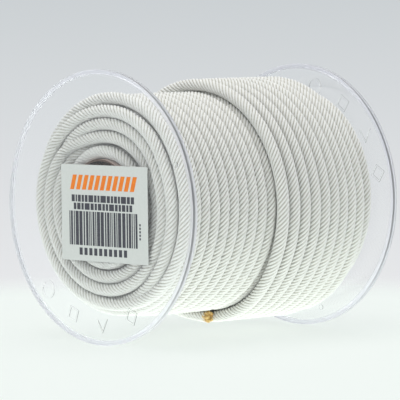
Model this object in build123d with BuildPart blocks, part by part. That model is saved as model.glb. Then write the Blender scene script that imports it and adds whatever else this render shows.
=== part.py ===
from build123d import *

import os
from math import cos, radians, sin, sqrt

# A reel of thick twisted cord: two clear flanges plugged into a cardboard core, wound with 20 m of cord.
#
# Frame: +Y along the reel's axis, from the labelled flange to the plain one; +Z up; the origin is under
# the middle of the reel, on the surface that its two rims stand on. All sizes are in millimetres.

# ---- the reel's driving dimensions ----
FLANGE_R = 44.0
REEL_W = 92.0
RIM_T = 2.0  # thickness of a flange at its rim bead
RIM_BEAD_W = 1.5  # radial width of the bead
WEB_T = 1.4  # thickness of a flange inside the bead
EDGE_FILLET = 0.35

BORE_R = 13.6
SPIGOT_R = 14.78
SPIGOT_L = 12.0
SPIGOT_CHAMFER = 0.4
TUBE_IN_R = 14.8
TUBE_OUT_R = 15.4

# ---- the cord ----
CORD_D = 4.1
LAYER_PITCH = 4.08
FULL_LAYERS = 5
WIND_IN_R = 15.6
SIXTH_FROM_Y = 36.0  # the sixth layer starts two turns short of the rear flange
LAST_TURN_Y = 1.1  # and is solid up to here; its last turn lies beside it
WIND_CLEAR = 0.1  # between the winding and each flange
WIND_FILLET = 1.2

TAIL_FROM = -75.0  # angles of the last turn's ends about the axis, in degrees from +X towards +Z
TAIL_TO = 276.0
TAIL_GAP = 0.02  # between the last turn and its neighbours
SEAL_T = 0.9
SEAL_FILLET = 0.5

# ---- paper and tape ----
LABEL_W = 41.0
LABEL_H = 30.8
LABEL_T = 0.12
LABEL_X = 2.6
LABEL_Z = -1.8
LABEL_TURN = 1.0
LABEL_CORNER = 0.6
TAPE_T = 0.12
TAPE_W = 15.0
TAPE_ANGLE = 70.0

# ---- raised marks on the flanges ----
MARK_ROW_R = 37.0
MARK_SIZE = 6.0
MARK_LINE = 0.55
MARK_H = 0.2
MARK_STEP = 22.0
FRONT_MARKS_FROM = 228.5
REAR_MARKS_FROM = 100.4
GATE_R = 0.9
GATE_ROW_R = 38.9
GATE_TURN = 154.6  # from a flange's first mark to the stub of its moulding gate

# ---- worked out from those ----
AXIS_Z = FLANGE_R
HALF_W = REEL_W / 2
WEB_OUT_Y = HALF_W - (RIM_T - WEB_T) / 2
WEB_IN_Y = WEB_OUT_Y - WEB_T
WIND_HALF_W = WEB_IN_Y - WIND_CLEAR
LAYER_R = [WIND_IN_R + CORD_D / 2 + LAYER_PITCH * n for n in range(FULL_LAYERS + 1)]
FULL_R = LAYER_R[FULL_LAYERS - 1] + CORD_D / 2
TOP_R = LAYER_R[FULL_LAYERS] + CORD_D / 2

AXIS = Axis((0, 0, AXIS_Z), (0, 1, 0))
TURNING_AXIS = Axis((0, 0, AXIS_Z), (0, -1, 0))  # turning about it goes from +X towards +Z
# Radius runs along this plane's x and the reel's axis along its y, so a half section is drawn in it.
SECTION = Plane(origin=(0, 0, AXIS_Z), x_dir=(1, 0, 0), z_dir=(0, 0, 1))


def turned_section(angle):
    """SECTION turned about the reel's axis, from +X towards +Z."""
    across = (cos(radians(angle)), 0, sin(radians(angle)))
    along = (-sin(radians(angle)), 0, cos(radians(angle)))
    return Plane(origin=(0, 0, AXIS_Z), x_dir=across, z_dir=along)


def face_plane(y, outward):
    """A plane across the reel's axis at y, with +Z up the page, facing along outward (1 or -1) Y."""
    return Plane(origin=(0, y, AXIS_Z), x_dir=(-outward, 0, 0), z_dir=(0, outward, 0))


def save(piece, name):
    piece.label = name
    export_step(piece, f"parts/{name}.step")


def flange(outward, marks_from):
    """One clear moulding: a thin web with a rim bead, and a hollow spigot that plugs into the core."""
    rim_out = outward * HALF_W
    rim_in = outward * (HALF_W - RIM_T)
    web_out = outward * WEB_OUT_Y
    web_in = outward * WEB_IN_Y
    spigot_end = outward * (WEB_IN_Y - SPIGOT_L)
    chamfer_y = outward * (WEB_IN_Y - SPIGOT_L + SPIGOT_CHAMFER)
    bead_r = FLANGE_R - RIM_BEAD_W
    with BuildPart() as moulding:
        with BuildSketch(SECTION):
            with BuildLine():
                Polyline(
                    (BORE_R, web_out),
                    (bead_r, web_out),
                    (bead_r + (RIM_T - WEB_T) / 2, rim_out),
                    (FLANGE_R, rim_out),
                    (FLANGE_R, rim_in),
                    (bead_r + (RIM_T - WEB_T) / 2, rim_in),
                    (bead_r, web_in),
                    (SPIGOT_R, web_in),
                    (SPIGOT_R, chamfer_y),
                    (SPIGOT_R - SPIGOT_CHAMFER, spigot_end),
                    (BORE_R, spigot_end),
                    close=True,
                )
            make_face()
        revolve(axis=AXIS)
        rim_edges = moulding.edges().filter_by(GeomType.CIRCLE).filter_by(lambda e: e.radius > FLANGE_R - 0.01)
        fillet(rim_edges, EDGE_FILLET)
        with BuildSketch(face_plane(web_out, outward)):
            marks(marks_from)
            with PolarLocations(GATE_ROW_R, 1, start_angle=marks_from + GATE_TURN):
                Circle(GATE_R)
        extrude(amount=MARK_H)
    return moulding.part


def marks(start):
    """Four plain outlines in a row: a ring, a square, a triangle and a lozenge."""
    places = [start + MARK_STEP * n for n in range(4)]
    outlines = [(0, 0), (4, 45), (3, 90), (4, 0)]
    for angle, (sides, turn) in zip(places, outlines):
        spot = Location((MARK_ROW_R * cos(radians(angle)), MARK_ROW_R * sin(radians(angle))), angle - 90)
        with Locations(spot):
            if sides == 0:
                Circle(MARK_SIZE / 2)
                Circle(MARK_SIZE / 2 - MARK_LINE, mode=Mode.SUBTRACT)
            else:
                RegularPolygon(MARK_SIZE / 2, sides, rotation=turn)
                RegularPolygon(MARK_SIZE / 2 - MARK_LINE * sqrt(2), sides, rotation=turn, mode=Mode.SUBTRACT)


def ring(inner, outer, low_y, high_y):
    """A plain tube about the reel's axis."""
    with BuildPart() as tube:
        with BuildSketch(face_plane(low_y, 1)):
            Circle(outer)
            Circle(inner, mode=Mode.SUBTRACT)
        extrude(amount=high_y - low_y)
    return tube.part


os.makedirs("parts", exist_ok=True)

# ---- the flanges ----
save(flange(-1, FRONT_MARKS_FROM), "front_flange")
save(flange(1, REAR_MARKS_FROM), "rear_flange")

# ---- the cardboard core ----
save(ring(TUBE_IN_R, TUBE_OUT_R, -WEB_IN_Y, WEB_IN_Y), "core_tube")

# ---- the patch of double-sided tape that the cord starts on ----
with BuildPart() as start_tape:
    with BuildSketch(face_plane(-WIND_HALF_W + CORD_D / 2, 1)):
        with BuildLine():
            CenterArc((0, 0), TUBE_OUT_R, 0, TAPE_ANGLE)
            CenterArc((0, 0), TUBE_OUT_R + TAPE_T, 0, TAPE_ANGLE)
            Line((TUBE_OUT_R, 0), (TUBE_OUT_R + TAPE_T, 0))
            tape_end = (cos(radians(TAPE_ANGLE)), sin(radians(TAPE_ANGLE)))
            Line(
                (TUBE_OUT_R * tape_end[0], TUBE_OUT_R * tape_end[1]),
                ((TUBE_OUT_R + TAPE_T) * tape_end[0], (TUBE_OUT_R + TAPE_T) * tape_end[1]),
            )
        make_face()
    extrude(amount=TAPE_W)
save(start_tape.part, "start_tape")

# ---- the wound cord: five full layers, and a sixth that stops short of the front flange ----
with BuildPart() as wound_cord:
    with BuildSketch(SECTION):
        with BuildLine():
            Polyline(
                (WIND_IN_R, -WIND_HALF_W),
                (FULL_R, -WIND_HALF_W),
                (FULL_R, LAST_TURN_Y),
                (TOP_R, LAST_TURN_Y),
                (TOP_R, SIXTH_FROM_Y),
                (FULL_R, SIXTH_FROM_Y),
                (FULL_R, WIND_HALF_W),
                (WIND_IN_R, WIND_HALF_W),
                close=True,
            )
        make_face()
    revolve(axis=AXIS)
    rounds = wound_cord.edges().filter_by(GeomType.CIRCLE).filter_by(lambda e: e.radius > FULL_R - 0.01)
    shoulders = rounds.filter_by(lambda e: e.radius > TOP_R - 0.01 or abs(e.center().Y) > WIND_HALF_W - 0.01)
    fillet(shoulders, WIND_FILLET)
save(wound_cord.part, "wound_cord")

# ---- the cord's last turn, lying on the fifth layer and against the sixth ----
tail_centre = (FULL_R + CORD_D / 2 + TAIL_GAP, LAST_TURN_Y - CORD_D / 2 - TAIL_GAP)
with BuildPart() as cord_tail:
    with BuildSketch(turned_section(TAIL_FROM)):
        with Locations(tail_centre):
            Circle(CORD_D / 2)
    revolve(axis=TURNING_AXIS, revolution_arc=TAIL_TO - TAIL_FROM)
save(cord_tail.part, "cord_tail")

# ---- the seal on the cut end ----
with BuildPart() as end_seal:
    with BuildSketch(turned_section(TAIL_TO)):
        with Locations(tail_centre):
            Circle(CORD_D / 2)
    extrude(amount=SEAL_T)
    fillet(end_seal.faces().sort_by(Axis.X)[-1].edges(), SEAL_FILLET)
save(end_seal.part, "end_seal")

# ---- the paper label on the front flange's web ----
with BuildPart() as label:
    with BuildSketch(face_plane(-WEB_OUT_Y, -1)):
        with Locations(Location((LABEL_X, LABEL_Z), LABEL_TURN)):
            RectangleRounded(LABEL_W, LABEL_H, LABEL_CORNER)
    extrude(amount=LABEL_T)
save(label.part, "label")
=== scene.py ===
from math import cos, degrees, exp, pi, radians, sin, tau

import bpy
import numpy as np
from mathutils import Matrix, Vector


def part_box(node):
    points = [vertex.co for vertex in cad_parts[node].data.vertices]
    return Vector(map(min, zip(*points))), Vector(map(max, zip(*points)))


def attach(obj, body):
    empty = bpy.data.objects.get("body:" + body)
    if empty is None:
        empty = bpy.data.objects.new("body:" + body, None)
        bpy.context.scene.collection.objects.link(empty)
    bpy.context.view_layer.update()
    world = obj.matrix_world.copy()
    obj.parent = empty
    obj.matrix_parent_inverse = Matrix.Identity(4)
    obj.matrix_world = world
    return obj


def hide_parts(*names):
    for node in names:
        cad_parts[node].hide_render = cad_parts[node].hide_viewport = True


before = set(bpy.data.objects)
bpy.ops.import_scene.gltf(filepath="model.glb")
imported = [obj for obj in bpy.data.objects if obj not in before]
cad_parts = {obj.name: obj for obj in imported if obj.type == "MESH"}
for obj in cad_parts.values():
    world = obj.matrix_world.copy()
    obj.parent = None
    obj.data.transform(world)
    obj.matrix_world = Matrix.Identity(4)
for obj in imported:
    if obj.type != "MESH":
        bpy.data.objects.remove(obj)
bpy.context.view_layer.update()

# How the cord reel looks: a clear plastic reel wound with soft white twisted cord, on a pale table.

MM = 0.001

# ---- sizes taken from the frame ----
reel_low, reel_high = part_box("rear_flange")
wind_low, wind_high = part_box("wound_cord")
tail_low, tail_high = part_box("cord_tail")
label_low, label_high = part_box("label")
AXIS_Z = (reel_low.z + reel_high.z) / 2
CORD_D = tail_high.y - tail_low.y
TOP_R = (wind_high.z - wind_low.z) / 2
RIM_R = (reel_high.z - reel_low.z) / 2 - 1.5 * MM  # where the thicker rim begins
END_Y = wind_high.y - CORD_D / 2  # a turn's centre when it touches a flange

# ---- the winding; its angles are in degrees about the axis, from +X towards +Z ----
LAYERS = 6
LAYER_PITCH = 4.08 * MM
POINTS_PER_TURN = 16
CURVE_STEPS = 19  # samples from one control point to the next
START_ANGLE = 70.0  # where the tape holds the inner end
CORD_END_ANGLE = 276.0

LAYER_TURNS = 20.4755  # in each of the first four layers, apart from the turns that lie against a flange
FIFTH_TURNS = 20.333
SIXTH_TURNS = 8.756
CLIMB = 0.28  # of a turn, from one layer up to the next
LAST_CLIMB = 0.79  # from the fifth layer to the sixth, leaning back from the flange
SUNK = 2.3 * MM  # how far from the flange the second layer's end turn sinks, beside the label
FIFTH_FROM_Y = -40.9 * MM
FIFTH_PITCH = 4.28 * MM  # at the front; its turns close up towards the rear flange
SIXTH_FROM_Y = 33.6 * MM
SIXTH_TO_Y = -4.9 * MM
SIXTH_PITCH = -3.55 * MM  # at the rear; its turns spread a little towards the cut end
UNDER_SIXTH = (3 * CORD_D, 26 * MM)  # from here to here along the axis, the fifth layer is out of sight
# How far along the axis the cut end is pushed, and each turn before it, where the end is tucked in.
END_PUSHES = (3.4 * MM, 2.3 * MM, 1.2 * MM, 0.5 * MM)
PUSH_SPREAD = 0.1  # of a turn

# How much further from the axis each of the first five layers lies at the front flange.
END_SWELL = (0.2 * MM, 0.5 * MM, 0.6 * MM, 0.6 * MM, 0.8 * MM)
# Where the turns there bulge outwards even more: angle, width in degrees, height.
END_BULGES = ((52.0, 28.0, 1.2 * MM), (165.0, 32.0, 0.7 * MM), (335.0, 35.0, 0.9 * MM))
END_REACH = 5.0 * MM  # how far from the flange both die away
# The underside of the fifth layer near the front flange is pressed in: angle, width, depth.
SAG = (268.0, 40.0, 1.8 * MM)
SAG_REACH = 9.0 * MM

# ---- the cord's own lay ----
STRANDS = 8
STRAND_POINTS = 4  # vertices across one strand
GROOVE = 0.42 * MM  # depth between two strands
LAY_LENGTH = 12.0 * MM  # in which a strand goes once round the cord
FINE_STEP = 0.78 * MM  # between rings of vertices where the cord shows
COARSE_STEP = 6.0 * MM  # and where it doesn't
GLUE_REACH = 3.0 * MM  # how far the glue has soaked into the cut end

# ---- the view ----
AZIMUTH = radians(46.45)
ELEVATION = radians(4.14)
DISTANCE = 1.038
LENS = 285.0
SHIFT = (-0.00775, 0.0015)

# ---- the table ----
TABLE_SIDE = 0.8
TABLE_NEARER = 0.1  # its middle lies this much nearer to the camera than the reel's
TABLE_FADE = (0.22, 0.32)  # distances from its middle where it starts to fade out, and is gone


def layer_r(number):
    """The centreline's distance from the axis in layer 1 to 6."""
    return TOP_R - CORD_D / 2 - LAYER_PITCH * (LAYERS - number)


# ---------------------------------------------------------------- materials


def material(name, color, roughness, **inputs):
    """A Principled material; inputs are more of its sockets, with _ for a space."""
    made = bpy.data.materials.new(name)
    made.use_nodes = True
    shader = made.node_tree.nodes["Principled BSDF"]
    shader.inputs["Base Color"].default_value = (*color, 1)
    shader.inputs["Roughness"].default_value = roughness
    for key, value in inputs.items():
        shader.inputs[key.replace("_", " ")].default_value = value
    return made


def add_node(made, kind, **settings):
    node = made.node_tree.nodes.new(kind)
    for key, value in settings.items():
        setattr(node, key, value)
    return node


def mottle(made, low, high, scale, detail=4.0, stretch=(1, 1, 1)):
    """Base colour that wanders between two colours, by a noise in the object's own space."""
    links = made.node_tree.links
    shader = made.node_tree.nodes["Principled BSDF"]
    place = add_node(made, "ShaderNodeTexCoord")
    mapping = add_node(made, "ShaderNodeMapping")
    mapping.inputs["Scale"].default_value = stretch
    noise = add_node(made, "ShaderNodeTexNoise")
    noise.inputs["Scale"].default_value = scale
    noise.inputs["Detail"].default_value = detail
    ramp = add_node(made, "ShaderNodeValToRGB")
    ramp.color_ramp.elements[0].position = 0.3
    ramp.color_ramp.elements[0].color = (*low, 1)
    ramp.color_ramp.elements[1].position = 0.7
    ramp.color_ramp.elements[1].color = (*high, 1)
    links.new(place.outputs["Object"], mapping.inputs["Vector"])
    links.new(mapping.outputs["Vector"], noise.inputs["Vector"])
    links.new(noise.outputs["Fac"], ramp.inputs["Fac"])
    links.new(ramp.outputs["Color"], shader.inputs["Base Color"])
    return noise


def bump(made, noise, distance, strength=1.0):
    links = made.node_tree.links
    shader = made.node_tree.nodes["Principled BSDF"]
    node = add_node(made, "ShaderNodeBump")
    node.inputs["Distance"].default_value = distance
    node.inputs["Strength"].default_value = strength
    links.new(noise.outputs["Fac"], node.inputs["Height"])
    links.new(node.outputs["Normal"], shader.inputs["Normal"])


def clear_plastic():
    """Clear polystyrene with a hazy rim, made greyer by painted shade. It casts little shadow, so that the
    cord inside is lit.
    """
    made = material("clear_plastic", (0.96, 0.975, 0.98), 0.03, Transmission_Weight=1.0, IOR=1.5)
    shader = made.node_tree.nodes["Principled BSDF"]
    links = made.node_tree.links
    place = add_node(made, "ShaderNodeTexCoord")
    flatten = add_node(made, "ShaderNodeMapping")
    flatten.inputs["Location"].default_value = (0, 0, -AXIS_Z)
    flatten.inputs["Scale"].default_value = (1, 0, 1)
    radius = add_node(made, "ShaderNodeVectorMath", operation="LENGTH")
    links.new(place.outputs["Object"], flatten.inputs["Vector"])
    links.new(flatten.outputs["Vector"], radius.inputs[0])

    def web_to_rim(web, rim):
        """A value on the web that turns into another one on the rim."""
        change = add_node(made, "ShaderNodeMapRange")
        change.inputs["From Min"].default_value = RIM_R - 0.3 * MM
        change.inputs["From Max"].default_value = RIM_R + 0.2 * MM
        change.inputs["To Min"].default_value = web
        change.inputs["To Max"].default_value = rim
        links.new(radius.outputs["Value"], change.inputs["Value"])
        return change.outputs["Result"]

    # Painted shade: the rim is tinted grey-violet for the darker look of light through the thick rim; its
    # haze comes from roughness and less transmission.
    rim_shade_tint = add_node(made, "ShaderNodeValToRGB")
    rim_shade_tint.color_ramp.elements[0].color = (0.99, 0.995, 1.0, 1)
    rim_shade_tint.color_ramp.elements[1].color = (0.82, 0.82, 0.87, 1)
    links.new(web_to_rim(0.0, 1.0), rim_shade_tint.inputs["Fac"])
    links.new(rim_shade_tint.outputs["Color"], shader.inputs["Base Color"])
    links.new(web_to_rim(0.03, 0.33), shader.inputs["Roughness"])
    links.new(web_to_rim(0.988, 0.86), shader.inputs["Transmission Weight"])
    rays = add_node(made, "ShaderNodeLightPath")
    clear = add_node(made, "ShaderNodeBsdfTransparent")
    clear.inputs["Color"].default_value = (0.93, 0.94, 0.945, 1)
    mix = add_node(made, "ShaderNodeMixShader")
    links.new(rays.outputs["Is Shadow Ray"], mix.inputs["Fac"])
    links.new(shader.outputs["BSDF"], mix.inputs[1])
    links.new(clear.outputs["BSDF"], mix.inputs[2])
    links.new(mix.outputs["Shader"], made.node_tree.nodes["Material Output"].inputs["Surface"])
    return made


def cord_yarn():
    """White yarn, with painted shade that makes it a little darker and browner down between the strands."""
    made = material("cord_yarn", (0.8, 0.8, 0.77), 0.85, Sheen_Weight=0.35, Sheen_Roughness=0.35)
    shader = made.node_tree.nodes["Principled BSDF"]
    links = made.node_tree.links
    crest = add_node(made, "ShaderNodeAttribute", attribute_name="crest")
    place = add_node(made, "ShaderNodeTexCoord")
    noise = add_node(made, "ShaderNodeTexNoise")
    noise.inputs["Scale"].default_value = 1500
    noise.inputs["Detail"].default_value = 3.0
    uneven_groove_shade = add_node(made, "ShaderNodeMath", operation="MULTIPLY_ADD")
    uneven_groove_shade.inputs[1].default_value = 0.9
    shift = add_node(made, "ShaderNodeMath", operation="SUBTRACT")
    shift.inputs[1].default_value = 0.45
    # Painted shade: the ramp's dark brown end colours the grooves between the strands, where the yarn lies
    # in shade; a noise makes it uneven.
    ramp = add_node(made, "ShaderNodeValToRGB")
    ramp.color_ramp.elements[0].position = 0.0
    ramp.color_ramp.elements[0].color = (0.47, 0.445, 0.385, 1)
    ramp.color_ramp.elements[1].position = 0.8
    ramp.color_ramp.elements[1].color = (0.80, 0.80, 0.775, 1)
    links.new(place.outputs["Object"], noise.inputs["Vector"])
    links.new(noise.outputs["Fac"], uneven_groove_shade.inputs[0])
    links.new(crest.outputs["Fac"], uneven_groove_shade.inputs[2])
    links.new(uneven_groove_shade.outputs["Value"], shift.inputs[0])
    links.new(shift.outputs["Value"], ramp.inputs["Fac"])
    glue = add_node(made, "ShaderNodeAttribute", attribute_name="glue")
    soaked = add_node(made, "ShaderNodeMix", data_type="RGBA")
    soaked.inputs["B"].default_value = (0.72, 0.48, 0.13, 1)
    links.new(glue.outputs["Fac"], soaked.inputs["Factor"])
    links.new(ramp.outputs["Color"], soaked.inputs["A"])
    links.new(soaked.outputs["Result"], shader.inputs["Base Color"])
    fibres = add_node(made, "ShaderNodeTexNoise")
    fibres.inputs["Scale"].default_value = 3200
    fibres.inputs["Detail"].default_value = 2.0
    links.new(place.outputs["Object"], fibres.inputs["Vector"])
    bump(made, fibres, 0.09 * MM, 0.9)
    return made


def dress_cad():
    """Better materials on the CAD pieces that stay as they are."""
    plastic = clear_plastic()
    board = material("core_board", (0.58, 0.43, 0.37), 0.9)
    bump(board, mottle(board, (0.49, 0.35, 0.29), (0.67, 0.52, 0.46), 900, stretch=(1, 0.15, 1)), 0.05 * MM)
    paper = material("label_paper", (0.60, 0.62, 0.60), 0.5, Specular_IOR_Level=0.3)
    bump(paper, mottle(paper, (0.585, 0.605, 0.585), (0.62, 0.635, 0.62), 1400), 0.01 * MM, 0.3)
    tape = material("tape", (0.80, 0.78, 0.70), 0.6)
    bump(tape, mottle(tape, (0.74, 0.71, 0.61), (0.84, 0.82, 0.75), 700), 0.03 * MM, 0.5)
    dressed = {
        "front_flange": plastic,
        "rear_flange": plastic,
        "core_tube": board,
        "label": paper,
        "start_tape": tape,
    }
    for node, made in dressed.items():
        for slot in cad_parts[node].material_slots:
            slot.material = made


# ---------------------------------------------------------------- the cord


def stretches():
    """The winding from the core outwards, a stretch a line.

    A stretch is its turns, its radius and its place along the axis at both ends, and the pitch that it
    starts with, or None where the pitch is even. The first one fills up the turns, so that the cord
    starts and ends at its two angles.
    """
    first, second, third, fourth, fifth, sixth = (layer_r(number) for number in range(1, 7))
    front, rear = -END_Y, END_Y
    beside = front + CORD_D  # where the turn next to the flange's own turn lies
    sunk = front + SUNK
    made = [
        (0.0, first, first, front, front, None),
        (LAYER_TURNS, first, first, front, rear, None),
        (CLIMB, first, second, rear, rear, None),
        (LAYER_TURNS, second, second, rear, beside, None),
        (0.17, second, second, beside, front, None),
        (0.43, second, second, front, front, None),
        (0.09, second, second, front, sunk, None),
        (0.19, second, second, sunk, front, None),
        (0.12, second, second, front, front, None),
        (0.125, second, third, front, front, None),
        (0.92, third, third, front, front, None),
        (0.16, third, third, front, beside, None),
        (LAYER_TURNS, third, third, beside, rear, None),
        (CLIMB, third, fourth, rear, rear, None),
        (LAYER_TURNS, fourth, fourth, rear, beside, None),
        (0.16, fourth, fourth, beside, front, None),
        (0.84, fourth, fourth, front, front, None),
        (0.16, fourth, fifth, front, FIFTH_FROM_Y, None),
        (FIFTH_TURNS, fifth, fifth, FIFTH_FROM_Y, rear, FIFTH_PITCH),
        (LAST_CLIMB, fifth, sixth, rear, SIXTH_FROM_Y, None),
        (SIXTH_TURNS, sixth, sixth, SIXTH_FROM_Y, SIXTH_TO_Y, SIXTH_PITCH),
    ]
    turns = sum(stretch[0] for stretch in made)
    first_lap = 1 + ((CORD_END_ANGLE - START_ANGLE) / 360 - turns) % 1
    made[0] = (first_lap, *made[0][1:])
    return made


def bell(off, width):
    """1 in the middle, falling to 0 a few widths off it."""
    return exp(-((off / width) ** 2))


def bell_about(angle, middle, width):
    """The same about the axis: the angle is in radians, and the bell's middle and width in degrees."""
    return bell((degrees(angle) - middle + 180) % 360 - 180, width)


def crowding(turns_to_end):
    """How far the cut end and the turns beside it are pushed along the axis, where the end is tucked in."""
    return sum(push * bell(turns_to_end - lap, PUSH_SPREAD) for lap, push in enumerate(END_PUSHES))


def swell(r, angle, y):
    """How much further from the axis a turn lies near the front flange, where the layers spread."""
    wider = np.interp(r, [layer_r(number) for number in range(1, LAYERS)], END_SWELL)
    for middle, width, height in END_BULGES:
        wider += height * min((r - layer_r(1)) / LAYER_PITCH, 1) * bell_about(angle, middle, width)
    middle, width, depth = SAG
    sag = depth * np.interp(r, (layer_r(4), layer_r(5)), (0, 1)) * bell_about(angle, middle, width)
    from_flange = y + END_Y
    return wider * bell(from_flange, END_REACH) - sag * bell(from_flange, SAG_REACH)


def place_on(stretch, rest):
    """Radius and place along the axis, so many turns into a stretch."""
    turns, r_from, r_to, y_from, y_to, pitch = stretch
    share = min(rest / turns, 1.0)
    r = r_from + (r_to - r_from) * share * share * (3 - 2 * share)
    if pitch is None:
        pitch = (y_to - y_from) / turns
    change = (y_to - y_from - pitch * turns) / turns**2
    return r, y_from + pitch * rest + change * rest**2


def route():
    """The cord's control points, turn by turn from its inner end on the core to its cut end."""
    plan = stretches()
    total = sum(stretch[0] for stretch in plan)
    count = round(total * POINTS_PER_TURN)
    points = []
    for index in range(count + 1):
        done = total * index / count
        rest = done
        for stretch in plan:
            if rest <= stretch[0] or stretch is plan[-1]:
                break
            rest -= stretch[0]
        r, y = place_on(stretch, rest)
        y += crowding(total - done)
        angle = radians(START_ANGLE) + done * tau
        r += swell(r, angle, y)
        if 0 < index < count:
            r /= cos(pi / POINTS_PER_TURN)  # the spline runs inside its control points
        points.append((r * cos(angle), y, AXIS_Z + r * sin(angle)))
    return points


def spline_points(points):
    """Points along the NURBS spline of those control points."""
    data = bpy.data.curves.new("cord_line", "CURVE")
    data.dimensions = "3D"
    spline = data.splines.new("NURBS")
    spline.points.add(len(points) - 1)
    for target, point in zip(spline.points, points):
        target.co = (*point, 1)
    spline.order_u = 3
    spline.use_endpoint_u = True
    spline.resolution_u = CURVE_STEPS
    carrier = bpy.data.objects.new("cord_line", data)
    mesh = bpy.data.meshes.new_from_object(carrier)
    line = np.array([v.co for v in mesh.vertices])
    bpy.data.objects.remove(carrier)
    bpy.data.curves.remove(data)
    bpy.data.meshes.remove(mesh)
    return line


def shows(line):
    """True for each point of the line where the cord can be seen."""
    r = np.hypot(line[:, 0], line[:, 2] - AXIS_Z)
    y = line[:, 1]
    sixth = r > layer_r(5.5)
    fifth = (r > layer_r(4.5)) & ((y < UNDER_SIXTH[0]) | (y > UNDER_SIXTH[1]))
    at_flange = np.abs(y) > END_Y - 1.1 * CORD_D
    return sixth | fifth | at_flange


def rings(line):
    """The points of the line that get a ring of vertices, close together where the cord shows."""
    seen = shows(line)
    gaps = np.concatenate([[0], np.linalg.norm(np.diff(line, axis=0), axis=1)])
    steps = np.cumsum(gaps / np.where(seen, FINE_STEP, COARSE_STEP))
    kept = np.concatenate([[True], np.diff(np.floor(steps)) > 0])
    kept[-1] = True
    return line[kept], seen[kept]


def mesh_piece(name, vertices, faces, made, smooth=True):
    mesh = bpy.data.meshes.new(name)
    mesh.from_pydata(vertices, [], faces)
    mesh.materials.append(made)
    if smooth:
        mesh.shade_smooth()
    piece = bpy.data.objects.new(name, mesh)
    bpy.context.scene.collection.objects.link(piece)
    return piece


def tube_faces(ring_count, around):
    """Quads between neighbouring rings, and a cap on each end."""
    first = np.arange(ring_count - 1)[:, None] * around + np.arange(around)[None, :]
    after = np.arange(ring_count - 1)[:, None] * around + (np.arange(around)[None, :] + 1) % around
    quads = np.stack([first, after, after + around, first + around], axis=-1).reshape(-1, 4)
    caps = [list(range(around))[::-1], list(range((ring_count - 1) * around, ring_count * around))]
    return quads.tolist() + caps


def make_cord():
    """The whole cord as one tube of eight twisted strands, from the core to the cut end."""
    line = spline_points(route())
    centres, seen = rings(line)
    count = len(centres)
    along = np.gradient(centres, axis=0)
    along /= np.linalg.norm(along, axis=1)[:, None]
    outward = centres * (1, 0, 1) - (0, 0, AXIS_Z)
    across = np.cross(along, outward)
    across /= np.linalg.norm(across, axis=1)[:, None]
    outward = np.cross(across, along)

    steps = np.concatenate([[0], np.linalg.norm(np.diff(centres, axis=0), axis=1)])
    twist = np.cumsum(np.where(seen, steps, 0)) * tau / LAY_LENGTH
    around = STRANDS * STRAND_POINTS
    place = (np.arange(around) % STRAND_POINTS) / STRAND_POINTS
    crest = np.sqrt(1 - (2 * place - 1) ** 2)
    radius = CORD_D / 2 - GROOVE * (1 - crest)
    angle = np.arange(around)[None, :] * tau / around + twist[:, None]
    vertices = (
        centres[:, None, :]
        + outward[:, None, :] * (np.cos(angle) * radius)[:, :, None]
        + across[:, None, :] * (np.sin(angle) * radius)[:, :, None]
    ).reshape(-1, 3)
    cord = mesh_piece("cord", vertices.tolist(), tube_faces(count, around), cord_yarn())
    to_end = np.cumsum(steps[::-1])[::-1]
    soaked = np.clip(1 - to_end / GLUE_REACH, 0, 1)
    for name, values in (("crest", np.tile(crest, count)), ("glue", np.repeat(soaked, around))):
        attribute = cord.data.attributes.new(name, "FLOAT", "POINT")
        attribute.data.foreach_set("value", values.astype(np.float32))
    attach(cord, "root")
    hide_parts("wound_cord", "cord_tail")
    return cord, centres, outward[-1], along[-1]


def make_seal(tip, outward, along):
    """The cut end: stubs of the eight strands, stiff with amber glue, round a darker middle."""
    glue = material("seal_glue", (0.62, 0.38, 0.10), 0.35, Coat_Weight=0.4)
    mottle(glue, (0.38, 0.19, 0.04), (0.80, 0.58, 0.22), 700)
    outward, along = Vector(outward), Vector(along)
    across = along.cross(outward)
    middle = Vector(tip)
    profile = ((-1.2, 1.0), (0.0, 1.04), (0.55, 1.0), (0.85, 0.72), (1.0, 0.3))  # shares of length, radius
    sides = 12
    vertices = []
    faces = []

    def stub(base, direction, radius, length):
        """A blunt peg that starts a little inside the cord."""
        side = direction.orthogonal().normalized()
        other = direction.cross(side)
        begin = len(vertices)
        for reach, width in profile:
            for step in range(sides):
                turn = step * tau / sides
                rim = side * cos(turn) + other * sin(turn)
                vertices.append(base + direction * reach * length + rim * radius * width)
        faces.extend([begin + v for v in face] for face in tube_faces(len(profile), sides))

    for strand in range(STRANDS):
        turn = strand * tau / STRANDS
        lean = outward * cos(turn) + across * sin(turn)
        length = (0.9 + 0.35 * sin(strand * 2.4)) * MM
        stub(middle + lean * 1.33 * MM, (along + lean * 0.12).normalized(), 0.6 * MM, length)
    stub(middle, along, 0.8 * MM, 0.55 * MM)
    seal = mesh_piece("seal", [tuple(v) for v in vertices], faces, glue)
    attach(seal, "root")
    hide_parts("end_seal")
    return seal


# ---------------------------------------------------------------- the label's print


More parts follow.
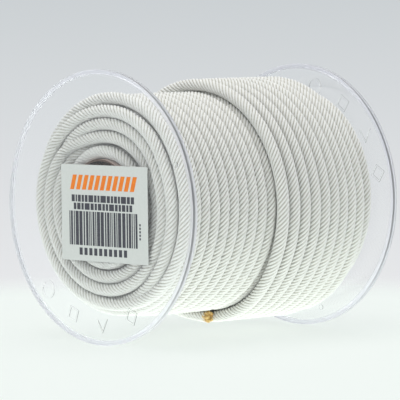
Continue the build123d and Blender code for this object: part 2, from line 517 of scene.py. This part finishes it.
def print_on_label():
    """Generic print: an orange heading, two rows of dashes, a band of bars, and dashes below and beside it.

    Sizes and places in it are in millimetres, right and down from the label's top left corner.
    """
    label_w, label_h, label_turn = 41.0 * MM, 30.8 * MM, radians(1.0)
    middle = (label_low + label_high) / 2
    front = label_low.y - 0.02 * MM
    right = Vector((cos(label_turn), 0, sin(label_turn)))
    up = Vector((-sin(label_turn), 0, cos(label_turn)))
    corner = middle - right * label_w / 2 + up * label_h / 2

    def block(into, x, y, width, height, lean=0.0):
        """A patch of print; lean is how far its top is pushed right."""
        vertices, faces = into
        begin = len(vertices)
        for dx, dy in ((0, height), (width, height), (width + lean, 0), (lean, 0)):
            spot = corner + right * (x + dx) * MM - up * (y + dy) * MM
            vertices.append((spot.x, front, spot.z))
        faces.append([begin, begin + 1, begin + 2, begin + 3])

    def dashes(into, x, y, height, widths, gap):
        for width in widths:
            block(into, x, y, width, height)
            x += width + gap

    def bars(into, x, x_end, y, height):
        """Bars and gaps of mixed widths, which spell nothing."""
        widths, gaps = (0.45, 1.1, 0.7, 1.5, 0.5, 0.9), (0.3, 0.35, 0.5)
        bar = 0
        while x < x_end:
            width = widths[(bar * 5 + bar // 4) % len(widths)]
            block(into, x, y, width, height)
            x += width + gaps[(bar * 2 + bar // 5) % len(gaps)]
            bar += 1

    upper_row = (1.5, 0.7, 1.4, 1.1, 1.3, 2.3, 1.2, 1.0, 2.6, 1.5, 1.1, 1.4, 1.0, 2.4, 1.4, 1.5)
    lower_row = (1.2, 1.6, 1.1, 2.4, 1.5, 1.1, 1.7, 1.2, 1.1, 2.3, 1.3, 1.1, 1.6, 1.0, 1.3)
    heading = ([], [])
    for step in range(11):
        block(heading, 4.3 + step * 2.85, 3.3, 1.9, 4.7, lean=1.5)
    dark = ([], [])
    dashes(dark, 5.0, 9.7, 2.2, upper_row, 0.42)
    dashes(dark, 6.0, 12.3, 2.1, lower_row, 0.45)
    dashes(dark, 8.5, 26.6, 2.3, (1.5,) * 10, 0.85)
    for step in range(5):
        block(dark, 37.0, 18.0 + step * 1.1, 0.7, 0.7)
    bars(dark, 3.8, 35.8, 14.9, 10.9)
    orange = material("print_orange", (0.78, 0.19, 0.008), 0.5)
    mottle(orange, (0.74, 0.16, 0.006), (0.82, 0.23, 0.012), 900)
    ink = material("print_ink", (0.035, 0.035, 0.05), 0.5)
    mottle(ink, (0.03, 0.03, 0.042), (0.06, 0.062, 0.08), 1200)
    for name, shapes, made in (("label_heading", heading, orange), ("label_print", dark, ink)):
        piece = mesh_piece(name, *shapes, made, smooth=False)
        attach(piece, "root")


# ---------------------------------------------------------------- the stage


def make_camera():
    centre = Vector((0, 0, AXIS_Z))
    towards = Vector((sin(AZIMUTH) * cos(ELEVATION), -cos(AZIMUTH) * cos(ELEVATION), sin(ELEVATION)))
    data = bpy.data.cameras.new("camera")
    data.lens = LENS
    data.sensor_width = 36
    data.shift_x, data.shift_y = SHIFT
    data.clip_end = 50
    camera = bpy.data.objects.new("camera", data)
    camera.location = centre + towards * DISTANCE
    camera.rotation_euler = (-towards).to_track_quat("-Z", "Y").to_euler()
    bpy.context.scene.collection.objects.link(camera)
    bpy.context.scene.camera = camera


def make_table():
    """A glowing table top, lit from below, that fades out into the backdrop."""
    made = material("table", (0.22, 0.23, 0.225), 0.8, Specular_IOR_Level=0.1)
    shader = made.node_tree.nodes["Principled BSDF"]
    shader.inputs["Emission Color"].default_value = (0.94, 1.0, 0.965, 1)
    shader.inputs["Emission Strength"].default_value = 0.66
    links = made.node_tree.links
    place = add_node(made, "ShaderNodeTexCoord")
    far = add_node(made, "ShaderNodeVectorMath", operation="LENGTH")
    fade = add_node(made, "ShaderNodeMapRange", interpolation_type="SMOOTHSTEP")
    fade.inputs["From Min"].default_value, fade.inputs["From Max"].default_value = TABLE_FADE
    rays = add_node(made, "ShaderNodeLightPath")
    through = add_node(made, "ShaderNodeMath", operation="MAXIMUM")
    clear = add_node(made, "ShaderNodeBsdfTransparent")
    mix = add_node(made, "ShaderNodeMixShader")
    links.new(place.outputs["Object"], far.inputs[0])
    links.new(far.outputs["Value"], fade.inputs["Value"])
    links.new(fade.outputs["Result"], through.inputs[0])
    links.new(rays.outputs["Is Shadow Ray"], through.inputs[1])
    links.new(through.outputs["Value"], mix.inputs["Fac"])
    links.new(shader.outputs["BSDF"], mix.inputs[1])
    links.new(clear.outputs["BSDF"], mix.inputs[2])
    links.new(mix.outputs["Shader"], made.node_tree.nodes["Material Output"].inputs["Surface"])
    half = TABLE_SIDE / 2
    corners = [(-half, -half, 0), (half, -half, 0), (half, half, 0), (-half, half, 0)]
    table = mesh_piece("table", corners, [[0, 1, 2, 3]], made, smooth=False)
    table.location = Vector((sin(AZIMUTH), -cos(AZIMUTH), 0)) * TABLE_NEARER


def make_backdrop():
    """The studio around the reel: cool grey above the horizon, paler below it."""
    world = bpy.data.worlds.new("studio")
    world.use_nodes = True
    bpy.context.scene.world = world
    nodes, links = world.node_tree.nodes, world.node_tree.links
    place = nodes.new("ShaderNodeTexCoord")
    split = nodes.new("ShaderNodeSeparateXYZ")
    height = nodes.new("ShaderNodeMapRange")
    height.inputs["From Min"].default_value = -0.1
    height.inputs["From Max"].default_value = 0.0
    ramp = nodes.new("ShaderNodeValToRGB")
    ramp.color_ramp.elements[0].color = (0.80, 0.81, 0.825, 1)
    ramp.color_ramp.elements[1].color = (0.585, 0.62, 0.64, 1)
    links.new(place.outputs["Generated"], split.inputs["Vector"])
    links.new(split.outputs["Z"], height.inputs["Value"])
    links.new(height.outputs["Result"], ramp.inputs["Fac"])
    links.new(ramp.outputs["Color"], nodes["Background"].inputs["Color"])


def area_light(name, place, size, power, color=(1, 1, 1)):
    data = bpy.data.lights.new(name, "AREA")
    data.shape = "SQUARE"
    data.size = size
    data.energy = power
    data.color = color
    light = bpy.data.objects.new(name, data)
    light.location = place
    light.rotation_euler = (Vector((0, 0, AXIS_Z)) - light.location).to_track_quat("-Z", "Y").to_euler()
    bpy.context.scene.collection.objects.link(light)


bpy.context.scene.view_settings.view_transform = "Standard"
bpy.context.scene.cycles.max_bounces = 32
bpy.context.scene.cycles.transmission_bounces = 32
make_camera()
cord, cord_path, tip_outward, tip_along = make_cord()
seal = make_seal(cord_path[-1], tip_outward, tip_along)
dress_cad()
print_on_label()
make_table()
make_backdrop()
area_light("overhead", (0.0, -0.1, 1.0), 0.9, 6.3, (1.0, 0.97, 0.93))
area_light("right_back", (0.7, 0.6, 0.5), 0.5, 0.9)
area_light("front", (-0.1, -1.0, 0.3), 0.5, 0.9, (1.0, 1.0, 0.96))
area_light("below", (0.1, -0.05, -0.5), 0.7, 6.0, (0.93, 1.0, 0.93))
